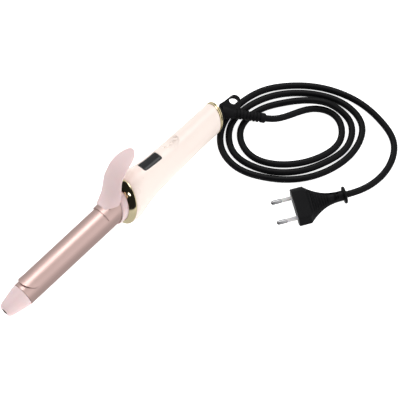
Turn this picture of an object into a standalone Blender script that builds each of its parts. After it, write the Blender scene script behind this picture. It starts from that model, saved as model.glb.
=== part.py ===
"""Curling iron with a spring clamp, a thumb lever, a display handle and a coiled mains cord.

Sizes are in millimetres and become metres in the helpers. The iron is built along its own
axis: x runs from the cool tip to the cord end, z points at the lever. It lies rolled over on
its front ring, as it rests on a table, with the coil and the plug flat on the same table.
"""

import math

import bmesh
import bpy
import numpy as np
from mathutils import Matrix, Vector

MM = 0.001
GAP = 0.3                   # air between neighbouring pieces

# How the iron lies
ROLL_DEG = 27.0             # the lever leans over by this much
STAND_X = 40.66             # places the middle of the iron over the origin
STAND_Y = 3.11

# Barrel and tip
BARREL_R = 11.0
BARREL_WALL = 1.1
TIP_X = -186.0
BARREL_FRONT = -164.4
BARREL_REAR = -26.0
TIP_SPIGOT = 12.5
TIP_DIMPLE_R = 2.7
TIP_DIMPLE_DEPTH = 3.0

# Heater inside the barrel
HEATER_FRONT = -142.0
HEATER_REAR = -74.0
HEATER_THICK = 3.2
HEATER_WIDE = 13.0
SPREADER_R = BARREL_R - BARREL_WALL - 0.4
FUSE_R = 1.6
FUSE_X = -62.0
FUSE_LONG = 11.0

# Clamp
CLAMP_SPAN_DEG = 122.0      # the part of the barrel the blade covers
BLADE_FRONT = -161.0
BLADE_REAR = -59.0
BLADE_THICK = 1.1
BLADE_LIP = 1.2             # how far the front edge lifts
BLADE_NOSE = 9.0            # length of the rounded front end
SADDLE_FRONT = -67.0
SADDLE_REAR = -56.5
SADDLE_THICK = 0.9
HINGE_X = -51.0
HINGE_Z = BARREL_R + 3.0
PIN_R = 1.2
PIN_HALF = 7.8
EAR_IN = 5.8
EAR_OUT = 7.0
EAR_R = 2.4
LUG_IN = 3.4
LUG_OUT = 5.2
LUG_R = 2.4
SPRING_WIRE = 0.9
SPRING_R = 2.15
SPRING_TURNS = 4

# Lever: crest line of the outer face (x, z), half width and how far the edges fall
LEVER_CREST = (
    (-64.0, 16.8, 6.2, 1.7), (-61.0, 17.4, 8.2, 2.8), (-58.0, 18.4, 10.2, 4.2),
    (-55.2, 19.6, 11.9, 5.6), (-52.5, 21.2, 12.9, 6.6), (-50.1, 23.3, 13.2, 6.2),
    (-47.8, 25.9, 12.8, 5.0), (-45.2, 29.2, 12.2, 3.5), (-42.0, 33.1, 11.7, 2.8),
    (-37.8, 36.3, 11.1, 2.5), (-34.0, 38.6, 10.9, 2.2), (-29.5, 40.2, 10.5, 2.0),
    (-25.0, 41.0, 9.8, 1.6), (-20.8, 41.4, 8.6, 1.3), (-16.5, 41.7, 6.4, 0.8),
    (-13.6, 41.8, 3.8, 0.3), (-12.3, 41.8, 1.8, 0.1),
)
LEVER_THICK = 1.9
RIVET_X = -61.6
RIVET_Y = 5.0
RIVET_R = 1.1
RIVET_LOW = 12.2
RIVET_TOP = 16.4

# Slanted joints round the handle lean by this slope: the top is set back
LEAN = math.tan(math.radians(29.0))
COLLAR_FRONT = -54.2
COLLAR_REAR = -46.4
COLLAR_R = BARREL_R + 1.6
RING_FRONT = -48.0
HANDLE_FRONT = -42.4
HANDLE_REAR = 64.3
HANDLE_WALL = 1.9
HANDLE_OUTLINE = (          # distance along the handle and radius, rear to front
    (64.3, 12.8), (56.0, 12.9), (44.0, 13.05), (33.0, 13.25), (22.0, 13.5), (12.0, 13.8),
    (3.0, 14.2), (-6.0, 14.75), (-14.0, 15.5), (-20.0, 16.4), (-25.5, 17.6), (-30.0, 18.7),
    (-33.5, 19.3), (-37.5, 19.4), (-40.5, 19.1), (-42.4, 18.5),
)
SEAM_Z = -7.5               # the lower cover meets the upper shell here
REAR_RING_END = 68.0
REAR_RING_HOLE = 8.0
SCREWS_X = (-6.0, 34.0)
SCREW_R = 1.5
AXIS_Z = max(r for _, r in HANDLE_OUTLINE)

# Display
WINDOW_X = -4.4
WINDOW_LONG = 19.8
WINDOW_WIDE = 11.5
WINDOW_CORNER = 1.6
LENS_FLOOR = 11.6
LCD_THICK = 2.2
PCB_X = (-14.0, 42.0)
PCB_HALF = 7.4
PCB_Z = 0.6
PCB_THICK = 1.6

# Buttons in their hollow
BUTTON_TILT_DEG = 12.0
PANEL_X = 21.5
PANEL_LONG = 23.0
PANEL_WIDE = 14.6
PANEL_FLOOR = 8.0
HOLLOW_LONG = 17.0
HOLLOW_TOP = 13.55          # height of the handle's surface over the hollow
HOLLOW_DEEP = 3.2
BUTTON_STEP = 5.6
BUTTON_R = 2.1
BUTTON_PROUD = 0.7
BUTTON_TRAVEL = 0.6
FLANGE_R = 2.6
PAD_THICK = 1.2

# Swivel, hanging loop and strain relief
SWIVEL_X = REAR_RING_END     # the swivel's pieces are measured from here
HUB_FRONT = 44.0
HUB_FLANGE_X = 54.6          # flange that keeps the hub in the rear ring
HUB_FLANGE_END = 56.0
SLIP_RINGS_X = (46.0, 50.0)
SLIP_RING_LONG = 2.0
HUB_R = REAR_RING_HOLE - GAP
HUB_NECK_R = 6.0
HUB_FLANGE_R = 9.0
SLIP_RING_R = 7.2
SLIP_BLOCK_R = 10.0
BOOT_START = (77.5, -2.2, -1.8)     # measured from the iron's axis, before the roll
BOOT_END = (101.7, -29.9, -9.9)
BOOT_R = 4.4
BOOT_RIDGES = 8
BOOT_RIDGE_STEP = 3.0
LOOP_THICK = 3.2
LOOP_HOLE_AT = (8.0, 11.4)           # along and beside the strain relief
LOOP_HOLE = (4.2, 3.1)

# Cord and plug
CORD_D = 6.0
CORD_POINTS = 80
CORD_GAP = 0.7
CORD_ROUTE = (              # x, y, height; from the strain relief round the coil to the plug
    (105.8, -34.2, 8.5), (121.2, -42.2, 4.8), (140.9, -52.7, 3.0), (148.8, -72.5, 3.0),
    (136.3, -89.0, 3.0), (114.0, -88.4, 3.0), (94.1, -78.4, 3.0), (77.8, -62.7, 3.0),
    (69.7, -41.7, 3.0), (78.8, -21.8, 3.0), (100.8, -18.1, 3.0), (121.7, -27.1, 3.0),
    (139.0, -41.7, 6.8), (152.0, -60.7, 8.4), (155.0, -71.4, 5.6), (154.4, -82.9, 2.9),
    (137.3, -97.3, 3.0), (114.6, -95.4, 3.0), (93.5, -86.6, 3.0), (75.9, -72.1, 3.0),
    (64.0, -52.7, 3.0), (61.3, -30.2, 3.0), (75.9, -12.3, 3.0), (99.2, -9.8, 3.0),
    (121.0, -16.9, 3.0), (139.6, -30.5, 3.0), (154.4, -48.8, 3.0), (163.0, -71.0, 3.0),
    (159.1, -93.2, 3.0), (139.2, -104.3, 3.0), (116.4, -103.8, 3.0), (94.9, -95.9, 3.0),
    (76.6, -82.3, 3.0), (62.3, -64.4, 3.0), (53.2, -43.5, 3.0), (56.3, -20.9, 3.0),
    (73.7, -6.0, 3.0), (97.0, -2.9, 3.0), (119.6, -7.9, 3.0), (138.9, -20.4, 3.0),
    (154.9, -37.0, 3.0), (166.9, -57.2, 3.0), (173.6, -79.6, 3.0), (174.0, -102.7, 3.0),
    (167.4, -124.3, 3.0), (148.1, -136.6, 3.0),
)
CORD_ENTRY = ((26.7, 4.6, 3.6), (12.2, 0.8, 5.8))   # past the plug, aside, height
PLUG_FACE = (61.6, -106.3)          # middle of the plug's front face
PLUG_TURN_DEG = -29.4               # the way from the face to the cord
PLUG_LONG = 45.2
PLUG_WIDE = 35.3
PLUG_THICK = 13.7
PLUG_BLOCK = 9.5
PLUG_NECK_R = 4.6
PLUG_CHAMFER = 4.0
PLUG_FLANGE_R = 7.3
PLUG_FLANGE_HIGH = 6.4
PLUG_FLANGE_THICK = 1.6
PIN_STEP = 19.0
PLUG_PIN_R = 2.0
PLUG_PIN_LONG = 19.0
SLEEVE_LONG = 9.5
PIN_SOCKET = 5.0

ROUND = 40
SMALL_ROUND = 20


# ---------------------------------------------------------------- helpers

def collection(name):
    """A collection of the scene, made if it's missing."""
    found = bpy.data.collections.get(name)
    if found is None:
        found = bpy.data.collections.new(name)
        bpy.context.scene.collection.children.link(found)
    return found


def material(name, colour, metallic=0.0, roughness=0.5, alpha=1.0):
    """A Principled material of one colour."""
    made = bpy.data.materials.new(name)
    made.use_nodes = True
    shader = made.node_tree.nodes["Principled BSDF"]
    shader.inputs["Base Color"].default_value = (*colour, 1.0)
    shader.inputs["Metallic"].default_value = metallic
    shader.inputs["Roughness"].default_value = roughness
    shader.inputs["Alpha"].default_value = alpha
    return made


def link(obj, look=None, parent=None):
    """Put a piece in the object's collection, or a cutter in its own."""
    if look is None:
        collection("cutters").objects.link(obj)
        obj.hide_render = True
        obj.display_type = "WIRE"
    else:
        collection("curling_iron").objects.link(obj)
        obj.data.materials.append(look)
    obj.parent = parent
    return obj


def empty(name, at=(0, 0, 0), turn=(0, 0, 0), parent=None):
    """A frame that pieces hang on."""
    made = bpy.data.objects.new(name, None)
    made.empty_display_size = 0.01
    collection("curling_iron").objects.link(made)
    made.location = Vector(at) * MM
    made.rotation_euler = turn
    made.parent = parent
    return made


def evaluated_mesh(obj):
    """The mesh that an object's modifiers make."""
    bpy.context.view_layer.update()
    graph = bpy.context.evaluated_depsgraph_get()
    return bpy.data.meshes.new_from_object(obj.evaluated_get(graph))


def smooth(obj, angle_deg=35.0):
    """Round faces shade smooth, and edges sharper than this stay crisp."""
    for face in obj.data.polygons:
        face.use_smooth = True
    obj.data.set_sharp_from_angle(angle=math.radians(angle_deg))


def turned(name, outline, look, parent=None, steps=ROUND, closed=False, turn_deg=360.0):
    """A turned piece on the parent's x axis. The outline lists (x, radius) from rear to front."""
    mesh = bpy.data.meshes.new(name)
    points = [(r * MM, 0.0, x * MM) for x, r in outline]
    edges = [(i, i + 1) for i in range(len(points) - 1)]
    if closed:
        edges.append((len(points) - 1, 0))
    mesh.from_pydata(points, edges, [])
    obj = link(bpy.data.objects.new(name, mesh), look, parent)
    obj.rotation_euler = (0.0, math.pi / 2, 0.0)
    screw = obj.modifiers.new("turn", "SCREW")
    screw.angle = math.radians(turn_deg)
    screw.steps = steps
    screw.render_steps = steps
    screw.use_merge_vertices = turn_deg == 360.0
    screw.merge_threshold = 1e-6
    screw.use_normal_calculate = False
    screw.use_smooth_shade = True
    return obj


def leaned(obj):
    """Slant a turned piece along its axis, so that its ends lean back at the top."""
    mesh = evaluated_mesh(obj)
    slant = Matrix.Identity(4)
    slant[2][0] = -LEAN
    mesh.transform(slant)
    obj.modifiers.clear()
    obj.data = mesh
    smooth(obj)
    return obj


def block(name, low, high, look=None, parent=None, edge=0.0):
    """A box between two corners, with its edges eased."""
    mesh = bpy.data.meshes.new(name)
    middle = (Vector(low) + Vector(high)) * (MM / 2)
    size = (Vector(high) - Vector(low)) * MM
    made = bmesh.new()
    bmesh.ops.create_cube(made, size=1.0, matrix=Matrix.Diagonal((*size, 1.0)))
    if edge:
        bmesh.ops.bevel(made, geom=made.edges[:], offset=edge * MM, segments=2,
                        affect="EDGES", profile=0.5)
    made.to_mesh(mesh)
    made.free()
    obj = link(bpy.data.objects.new(name, mesh), look, parent)
    obj.location = middle
    return obj


def slab(name, size, corner, low, high, look=None, parent=None, at=(0.0, 0.0)):
    """An upright prism with rounded corners: size is (x, y)."""
    mesh = bpy.data.meshes.new(name)
    made = bmesh.new()
    tall = high - low
    shape = Matrix.Diagonal((size[0] * MM, size[1] * MM, tall * MM, 1.0))
    bmesh.ops.create_cube(made, size=1.0, matrix=shape)
    upright = [e for e in made.edges
               if abs(e.verts[0].co.z - e.verts[1].co.z) > tall * MM / 2]
    bmesh.ops.bevel(made, geom=upright, offset=corner * MM, segments=5,
                    affect="EDGES", profile=0.5)
    made.to_mesh(mesh)
    made.free()
    obj = link(bpy.data.objects.new(name, mesh), look, parent)
    obj.location = Vector((at[0], at[1], (low + high) / 2)) * MM
    return obj


def rod(name, radius, start, end, look=None, parent=None, steps=SMALL_ROUND):
    """A plain round bar between two points."""
    mesh = bpy.data.meshes.new(name)
    way = (Vector(end) - Vector(start)) * MM
    made = bmesh.new()
    bmesh.ops.create_cone(made, cap_ends=True, segments=steps, radius1=radius * MM,
                          radius2=radius * MM, depth=way.length)
    made.to_mesh(mesh)
    made.free()
    obj = link(bpy.data.objects.new(name, mesh), look, parent)
    smooth(obj)
    obj.location = (Vector(start) + Vector(end)) * (MM / 2)
    obj.rotation_euler = way.to_track_quat("Z", "Y").to_euler()
    return obj


def boolean(obj, other, how="DIFFERENCE"):
    """Cut a piece with another, join them or keep what they share."""
    step = obj.modifiers.new(how.lower(), "BOOLEAN")
    step.operation = how
    step.solver = "EXACT"
    step.object = other
    return obj


def tube(name, points, radius, look, parent=None, sides=2):
    """A round wire or cable through points."""
    curve = bpy.data.curves.new(name, "CURVE")
    curve.dimensions = "3D"
    line = curve.splines.new("POLY")
    line.points.add(len(points) - 1)
    for point, at in zip(line.points, points):
        point.co = (*(Vector(at) * MM), 1.0)
    curve.bevel_depth = radius * MM
    curve.bevel_resolution = sides
    curve.use_fill_caps = True
    return link(bpy.data.objects.new(name, curve), look, parent)


def flat_outline(name, loops, thick, look=None, parent=None):
    """A flat piece cut to an outline, with holes: each loop lists (x, y)."""
    curve = bpy.data.curves.new(name, "CURVE")
    curve.dimensions = "2D"
    curve.fill_mode = "BOTH"
    curve.extrude = thick * MM / 2
    for loop in loops:
        line = curve.splines.new("POLY")
        line.points.add(len(loop) - 1)
        for point, (x, y) in zip(line.points, loop):
            point.co = (x * MM, y * MM, 0.0, 1.0)
        line.use_cyclic_u = True
    drawn = bpy.data.objects.new(name + "_outline", curve)
    collection("cutters").objects.link(drawn)
    mesh = evaluated_mesh(drawn)
    bpy.data.objects.remove(drawn)
    made = bmesh.new()
    made.from_mesh(mesh)
    bmesh.ops.remove_doubles(made, verts=made.verts[:], dist=1e-6)
    made.to_mesh(mesh)
    made.free()
    mesh.materials.clear()
    return link(bpy.data.objects.new(name, mesh), look, parent)


def arc(middle, radius, start_deg, end_deg, count):
    """Points along an arc; radius may be (along x, along y)."""
    rx, ry = radius if isinstance(radius, tuple) else (radius, radius)
    turns = [math.radians(start_deg + (end_deg - start_deg) * i / (count - 1))
             for i in range(count)]
    return [(middle[0] + rx * math.cos(t), middle[1] + ry * math.sin(t)) for t in turns]


def through(points, count, loose_z=None):
    """Evenly spaced points on a natural cubic spline through the given ones."""
    route = np.array(points, float)
    spans = np.linalg.norm(np.diff(route, axis=0), axis=1)
    knots = np.concatenate([[0.0], np.cumsum(spans)])
    size = len(route)
    grid = np.zeros((size, size))
    right = np.zeros((size, 3))
    grid[0, 0] = grid[-1, -1] = 1.0
    for i in range(1, size - 1):
        before, after = spans[i - 1], spans[i]
        grid[i, i - 1:i + 2] = before, 2 * (before + after), after
        right[i] = 6 * ((route[i + 1] - route[i]) / after
                        - (route[i] - route[i - 1]) / before)
    bend = np.linalg.solve(grid, right)
    fine = np.linspace(0.0, knots[-1], 60 * size)
    at = np.clip(np.searchsorted(knots, fine, side="right") - 1, 0, size - 2)
    span = spans[at][:, None]
    back = (knots[at + 1] - fine)[:, None] / span
    ahead = 1.0 - back
    line = (back * route[at] + ahead * route[at + 1]
            + ((back ** 3 - back) * bend[at] + (ahead ** 3 - ahead) * bend[at + 1])
            * span ** 2 / 6)
    if loose_z is not None:
        line[:, 2] = np.maximum(line[:, 2], loose_z)
    run = np.concatenate([[0.0], np.cumsum(np.linalg.norm(np.diff(line, axis=0), axis=1))])
    evenly = np.linspace(0.0, run[-1], count)
    return np.stack([np.interp(evenly, run, line[:, i]) for i in range(3)], axis=1)


# ---------------------------------------------------------------- barrel

def make_tip(iron, looks):
    """Cool tip that a finger holds, with its spigot in the barrel and a cap in its end."""
    inner = BARREL_R - BARREL_WALL - GAP
    shoulder = BARREL_FRONT
    crown = ((0.0, 1.0), (0.08, 0.985), (0.3, 0.92), (0.52, 0.845), (0.72, 0.765),
             (0.86, 0.68), (0.95, 0.575), (1.0, 0.45))
    long = shoulder - TIP_X
    outline = [(shoulder + TIP_SPIGOT, 0.0), (shoulder + TIP_SPIGOT, inner), (shoulder, inner)]
    outline += [(shoulder - long * t, BARREL_R * r) for t, r in crown]
    outline += [(TIP_X, TIP_DIMPLE_R), (TIP_X + TIP_DIMPLE_DEPTH, TIP_DIMPLE_R),
                (TIP_X + TIP_DIMPLE_DEPTH, 0.0)]
    turned("cool_tip", outline, looks["pink"], iron)
    floor = TIP_X + TIP_DIMPLE_DEPTH - GAP
    cap_r = TIP_DIMPLE_R - GAP
    turned("tip_cap", [(floor, 0.0), (floor, cap_r), (TIP_X + 0.5, cap_r), (TIP_X + 0.5, 0.0)],
           looks["dark"], iron, SMALL_ROUND)


def make_barrel(iron, looks):
    """Heated tube and the seat that holds it in the handle."""
    front = BARREL_FRONT + GAP
    inner = BARREL_R - BARREL_WALL
    turned("barrel_tube", [(BARREL_REAR, BARREL_R), (front, BARREL_R), (front, inner),
                           (BARREL_REAR, inner)], looks["barrel"], iron, closed=True)
    seat_in = BARREL_R + GAP
    seat_out = seat_in + 2.2
    seat_rear = BARREL_REAR + 1.0
    seat_front = seat_rear - 7.5
    turned("barrel_seat", [(seat_rear, seat_out), (seat_front, seat_out),
                           (seat_front, seat_in), (seat_rear, seat_in)],
           looks["insulator"], iron, closed=True)


def make_heater(iron, looks):
    """Flat heater between two half-round bars, and the thermal fuse behind it."""
    half = HEATER_THICK / 2
    block("ptc_heater", (HEATER_FRONT + 2, -HEATER_WIDE / 2, -half),
          (HEATER_REAR - 2, HEATER_WIDE / 2, half), looks["ceramic"], iron, 0.4)
    for side, way in (("upper", 1), ("lower", -1)):
        outline = [(HEATER_REAR, 0.0), (HEATER_REAR, SPREADER_R), (HEATER_FRONT, SPREADER_R),
                   (HEATER_FRONT, 0.0)]
        bar = turned("heat_spreader_" + side, outline, looks["alloy"], iron, 32)
        face = way * (half + GAP)
        far = -way * 2 * BARREL_R
        cut = block("cut_spreader_" + side,
                    (HEATER_FRONT - 5, -20, min(face, far)),
                    (HEATER_REAR + 5, 20, max(face, far)), parent=iron)
        boolean(bar, cut)
    rod("thermal_fuse", FUSE_R, (FUSE_X - FUSE_LONG / 2, 0, 0), (FUSE_X + FUSE_LONG / 2, 0, 0),
        looks["ceramic"], iron)


# ---------------------------------------------------------------- clamp

def curved_sheet(name, inner_r, thick, front, rear, look, parent, lip=0.0):
    """A sheet bent round the barrel, centred on the top."""
    outline = [(rear, inner_r), (front + 9.0, inner_r), (front + 5.0, inner_r + lip * 0.15),
               (front + 2.4, inner_r + lip * 0.5), (front, inner_r + lip)]
    if not lip:
        outline = [(rear, inner_r), (front, inner_r)]
    sheet = turned(name, outline, look, parent, 20, turn_deg=CLAMP_SPAN_DEG)
    start = Matrix.Rotation(math.radians(180 - CLAMP_SPAN_DEG / 2), 4, "Z")
    mesh = evaluated_mesh(sheet)
    mesh.transform(start)
    sheet.modifiers.clear()
    sheet.data = mesh
    thicken = sheet.modifiers.new("thicken", "SOLIDIFY")
    thicken.thickness = thick * MM
    thicken.offset = 1.0
    thicken.use_even_offset = True
    return sheet


def face_out(obj):
    """Make a sheet's faces look away from the barrel's axis."""
    made = bmesh.new()
    made.from_mesh(obj.data)
    for face in made.faces:
        middle = face.calc_center_median()
        if face.normal.x * middle.x + face.normal.y * middle.y < 0:
            face.normal_flip()
    made.to_mesh(obj.data)
    made.free()
    smooth(obj)


def make_blade(clamp, looks):
    """Blade that presses hair on the barrel, with a rounded and lifted front end."""
    blade = curved_sheet("clamp_blade", BARREL_R + GAP, BLADE_THICK, BLADE_FRONT, BLADE_REAR,
                         looks["clamp"], clamp, BLADE_LIP)
    face_out(blade)
    half = 14.0
    nose = arc((BLADE_FRONT + BLADE_NOSE, 0), (BLADE_NOSE, 10.6), 90, 270, 17)
    plan = [(BLADE_REAR + 5, half), (BLADE_FRONT + BLADE_NOSE + 1, half)]
    plan += nose + [(BLADE_FRONT + BLADE_NOSE + 1, -half), (BLADE_REAR + 5, -half)]
    cut = flat_outline("keep_blade", [plan], 60.0, parent=clamp)
    cut.location.z = 12 * MM
    boolean(blade, cut, "INTERSECT")
    return blade


def make_saddle(clamp, looks):
    """Plate riveted over the blade's rear end, with two ears on the hinge pin."""
    inner = BARREL_R + GAP + BLADE_THICK + GAP
    saddle = curved_sheet("clamp_saddle", inner, SADDLE_THICK, SADDLE_FRONT, SADDLE_REAR,
                          looks["clamp"], clamp)
    face_out(saddle)
    for side in (1, -1):
        near, far = sorted((side * EAR_IN, side * EAR_OUT))
        bar = block(f"add_ear_{side}", (SADDLE_REAR - 3.5, near, HINGE_Z - EAR_R),
                    (HINGE_X, far, HINGE_Z - 0.4), parent=clamp)
        eye = rod(f"add_eye_{side}", EAR_R, (HINGE_X, near, HINGE_Z),
                  (HINGE_X, far, HINGE_Z), parent=clamp)
        boolean(saddle, bar, "UNION")
        boolean(saddle, eye, "UNION")
    hole = rod("cut_ears", PIN_R + GAP, (HINGE_X, -20, HINGE_Z), (HINGE_X, 20, HINGE_Z),
               parent=clamp)
    boolean(saddle, hole)
    for side in (1, -1):
        boolean(saddle, rivet_hole(f"cut_saddle_{side}", side, clamp))
    return saddle


def rivet_hole(name, side, clamp):
    """The hole that a lever rivet goes through."""
    return rod(name, RIVET_R + GAP, (RIVET_X, side * RIVET_Y, 0),
               (RIVET_X, side * RIVET_Y, 40), parent=clamp, steps=16)


def crown_share(v):
    """Share of the full fall at a share of the lever's half width."""
    return 0.35 * v ** 2 + 0.65 * v ** 4


def make_lever(clamp, looks):
    """Thumb lever: an arched and crowned strip with a rounded tip."""
    across = (-1.0, -0.92, -0.75, -0.5, 0.0, 0.5, 0.75, 0.92, 1.0)
    made = bmesh.new()
    rows = []
    for x, z, half, fall in LEVER_CREST:
        rows.append([made.verts.new(Vector((x, half * v, z - fall * crown_share(v))) * MM)
                     for v in across])
    for row, following in zip(rows, rows[1:]):
        for i in range(len(across) - 1):
            made.faces.new((row[i], following[i], following[i + 1], row[i + 1]))
    mesh = bpy.data.meshes.new("lever")
    made.to_mesh(mesh)
    made.free()
    lever = link(bpy.data.objects.new("lever", mesh), looks["pink"], clamp)
    smooth(lever, 60)
    thicken = lever.modifiers.new("thicken", "SOLIDIFY")
    thicken.thickness = LEVER_THICK * MM
    thicken.offset = -1.0
    thicken.use_even_offset = True
    rounder = lever.modifiers.new("round", "SUBSURF")
    rounder.levels = 1
    rounder.render_levels = 1
    for side in (1, -1):
        boolean(lever, rivet_hole(f"cut_lever_{side}", side, clamp))
        name = "lever_rivet_" + ("left" if side > 0 else "right")
        rivet = turned(name, [(RIVET_TOP, 0.0), (RIVET_TOP, RIVET_R * 0.6),
                              (RIVET_TOP - 0.3, RIVET_R), (RIVET_LOW, RIVET_R),
                              (RIVET_LOW, 0.0)], looks["pink"], clamp, 16)
        rivet.rotation_euler = (0, 0, 0)
        rivet.location = Vector((RIVET_X, side * RIVET_Y, 0)) * MM
    return lever


def make_hinge(iron, looks):
    """Collar at the barrel's base with two lugs, the pin and its coil spring."""
    outline = [(COLLAR_REAR, COLLAR_R), (COLLAR_FRONT + 1.6, COLLAR_R),
               (COLLAR_FRONT + 0.5, COLLAR_R - 0.35), (COLLAR_FRONT, COLLAR_R - 0.9),
               (COLLAR_FRONT, BARREL_R + GAP), (COLLAR_REAR, BARREL_R + GAP)]
    collar = leaned(turned("collar", outline, looks["pink"], iron, closed=True))
    for side in (1, -1):
        near, far = sorted((side * LUG_IN, side * LUG_OUT))
        bar = block(f"add_lug_{side}", (HINGE_X, near, BARREL_R + GAP),
                    (HINGE_X + 8.5, far, HINGE_Z + 0.6), parent=iron)
        eye = rod(f"add_lug_eye_{side}", LUG_R, (HINGE_X, near, HINGE_Z),
                  (HINGE_X, far, HINGE_Z), parent=iron)
        boolean(collar, bar, "UNION")
        boolean(collar, eye, "UNION")
    hole = rod("cut_lugs", PIN_R + GAP, (HINGE_X, -20, HINGE_Z), (HINGE_X, 20, HINGE_Z),
               parent=iron)
    boolean(collar, hole)
    rod("pivot_pin", PIN_R, (HINGE_X, -PIN_HALF, HINGE_Z), (HINGE_X, PIN_HALF, HINGE_Z),
        looks["steel"], iron)
    wide = 2 * (LUG_IN - GAP) - SPRING_WIRE
    count = SPRING_TURNS * 10 + 1
    coil = []
    for i in range(count):
        turn = 2 * math.pi * SPRING_TURNS * i / (count - 1)
        coil.append((HINGE_X + SPRING_R * math.cos(turn), wide * (i / (count - 1) - 0.5),
                     HINGE_Z + SPRING_R * math.sin(turn)))
    tube("hinge_spring", coil, SPRING_WIRE / 2, looks["steel"], iron)


# ---------------------------------------------------------------- handle

def make_front_ring(iron, looks):
    """Bright stepped ring between the collar and the handle."""
    face = HANDLE_FRONT - GAP
    rim = HANDLE_OUTLINE[-1][1]
    bore = COLLAR_R + GAP
    spigot = rim - HANDLE_WALL - GAP
    outline = [(face, rim), (face - 0.8, rim), (face - 1.9, rim - 0.5), (face - 3.2, rim - 2.0),
               (face - 4.3, rim - 4.0), (RING_FRONT, bore + 0.4), (RING_FRONT, bore),
               (face - 2.6, bore), (face - 1.4, bore + 1.3), (face + 4.0, bore + 1.3),
               (face + 4.0, spigot), (face, spigot)]
    leaned(turned("front_ring", outline, looks["gold"], iron, closed=True))


def handle_solid(name, look, parent, inset=0.0):
    """The handle's outside as a solid."""
    outline = [(HANDLE_REAR, 0.0)]
    outline += [(x, r - inset) for x, r in HANDLE_OUTLINE]
    outline.append((HANDLE_FRONT, 0.0))
    return leaned(turned(name, outline, look, parent))


def handle_shell(name, look, parent):
    """The handle's wall all round."""
    outline = list(HANDLE_OUTLINE)
    outline += [(x, r - HANDLE_WALL) for x, r in reversed(HANDLE_OUTLINE[::3])]
    outline[len(HANDLE_OUTLINE)] = (HANDLE_FRONT, HANDLE_OUTLINE[-1][1] - HANDLE_WALL)
    return leaned(turned(name, outline, look, parent, closed=True))


def button_hollow(name, buttons):
    """The shape that the thumb hollow takes out of the handle."""
    half = HOLLOW_LONG / 2
    radius = (half ** 2 + HOLLOW_DEEP ** 2) / (2 * HOLLOW_DEEP)
    middle = HOLLOW_TOP - HOLLOW_DEEP + radius
    return rod(name, radius, (PANEL_X, -18, middle), (PANEL_X, 18, middle),
               parent=buttons, steps=96)


def make_handle(iron, buttons, looks):
    """Upper shell with its two openings, lower cover and the screws that hold it."""
    upper = handle_shell("handle_upper", looks["cream"], iron)
    boolean(upper, block("cut_upper", (-80, -40, -40), (110, 40, SEAM_Z + GAP / 2),
                         parent=iron))
    boolean(upper, slab("cut_window", (WINDOW_LONG + 2 * GAP, WINDOW_WIDE + 2 * GAP),
                        WINDOW_CORNER + GAP, 4.0, 25.0, parent=iron, at=(WINDOW_X, 0)))
    boolean(upper, slab("cut_panel", (PANEL_LONG + 2 * GAP, PANEL_WIDE + 2 * GAP),
                        3.0 + GAP, 4.0, 25.0, parent=buttons, at=(PANEL_X, 0)))
    boolean(upper, button_hollow("cut_hollow_shell", buttons))
    lower = handle_shell("handle_lower", looks["cream"], iron)
    boolean(lower, block("cut_lower", (-80, -40, SEAM_Z - GAP / 2), (110, 40, 40),
                         parent=iron))
    for name, x in zip(("front", "rear"), SCREWS_X):
        boolean(lower, rod("cut_screw_" + name, SCREW_R + GAP, (x, 0, -25), (x, 0, -5),
                           parent=iron))
        head = -np.interp(-x, [-p[0] for p in HANDLE_OUTLINE], [p[1] for p in HANDLE_OUTLINE])
        rod("cover_screw_" + name, SCREW_R, (x, 0, head + 0.9), (x, 0, head + 9.0),
            looks["steel"], iron)


def make_display(iron, looks):
    """Glass window that follows the handle, the display under it and the circuit board."""
    lens = handle_solid("display_lens", looks["glass"], iron, 0.15)
    boolean(lens, slab("keep_lens", (WINDOW_LONG, WINDOW_WIDE), WINDOW_CORNER, LENS_FLOOR, 25.0,
                       parent=iron, at=(WINDOW_X, 0)), "INTERSECT")
    block("lcd_module", (WINDOW_X - 9, -5.4, LENS_FLOOR - GAP - LCD_THICK),
          (WINDOW_X + 9, 5.4, LENS_FLOOR - GAP), looks["board"], iron, 0.3)
    block("circuit_board", (PCB_X[0], -PCB_HALF, PCB_Z - PCB_THICK / 2),
          (PCB_X[1], PCB_HALF, PCB_Z + PCB_THICK / 2), looks["board"], iron, 0.2)


def make_buttons(buttons, looks):
    """Dished panel with three push buttons and the soft pad under them."""
    panel = handle_solid("button_panel", looks["cream"], buttons.parent)
    boolean(panel, slab("keep_panel", (PANEL_LONG, PANEL_WIDE), 3.0, PANEL_FLOOR, 25.0,
                        parent=buttons, at=(PANEL_X, 0)), "INTERSECT")
    boolean(panel, button_hollow("cut_hollow_panel", buttons))
    floor = HOLLOW_TOP - HOLLOW_DEEP
    radius = ((HOLLOW_LONG / 2) ** 2 + HOLLOW_DEEP ** 2) / (2 * HOLLOW_DEEP)
    for name, step in (("up", -1), ("power", 0), ("down", 1)):
        x = PANEL_X + step * BUTTON_STEP
        rise = radius - math.sqrt(radius ** 2 - (step * BUTTON_STEP) ** 2)
        boolean(panel, rod("cut_button_" + name, BUTTON_R + GAP, (x, 0, 0), (x, 0, 20),
                           parent=buttons))
        top = floor + rise + BUTTON_PROUD
        under = PANEL_FLOOR - GAP
        cap = turned("button_" + name,
                     [(top, 0.0), (top, BUTTON_R * 0.55), (top - 0.2, BUTTON_R * 0.85),
                      (top - 0.6, BUTTON_R), (under, BUTTON_R), (under, FLANGE_R),
                      (under - 0.5, FLANGE_R), (under - 0.5, 0.0)],
                     looks["cream"], buttons, SMALL_ROUND)
        cap.rotation_euler = (0, 0, 0)
        cap.location = (x * MM, 0, 0)
    under = PANEL_FLOOR - GAP - 0.5 - BUTTON_TRAVEL - GAP
    block("button_pad", (PANEL_X - 9.5, -3.6, under - PAD_THICK), (PANEL_X + 9.5, 3.6, under),
          looks["rubber"], buttons, 0.3)


# ---------------------------------------------------------------- cord end

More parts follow.
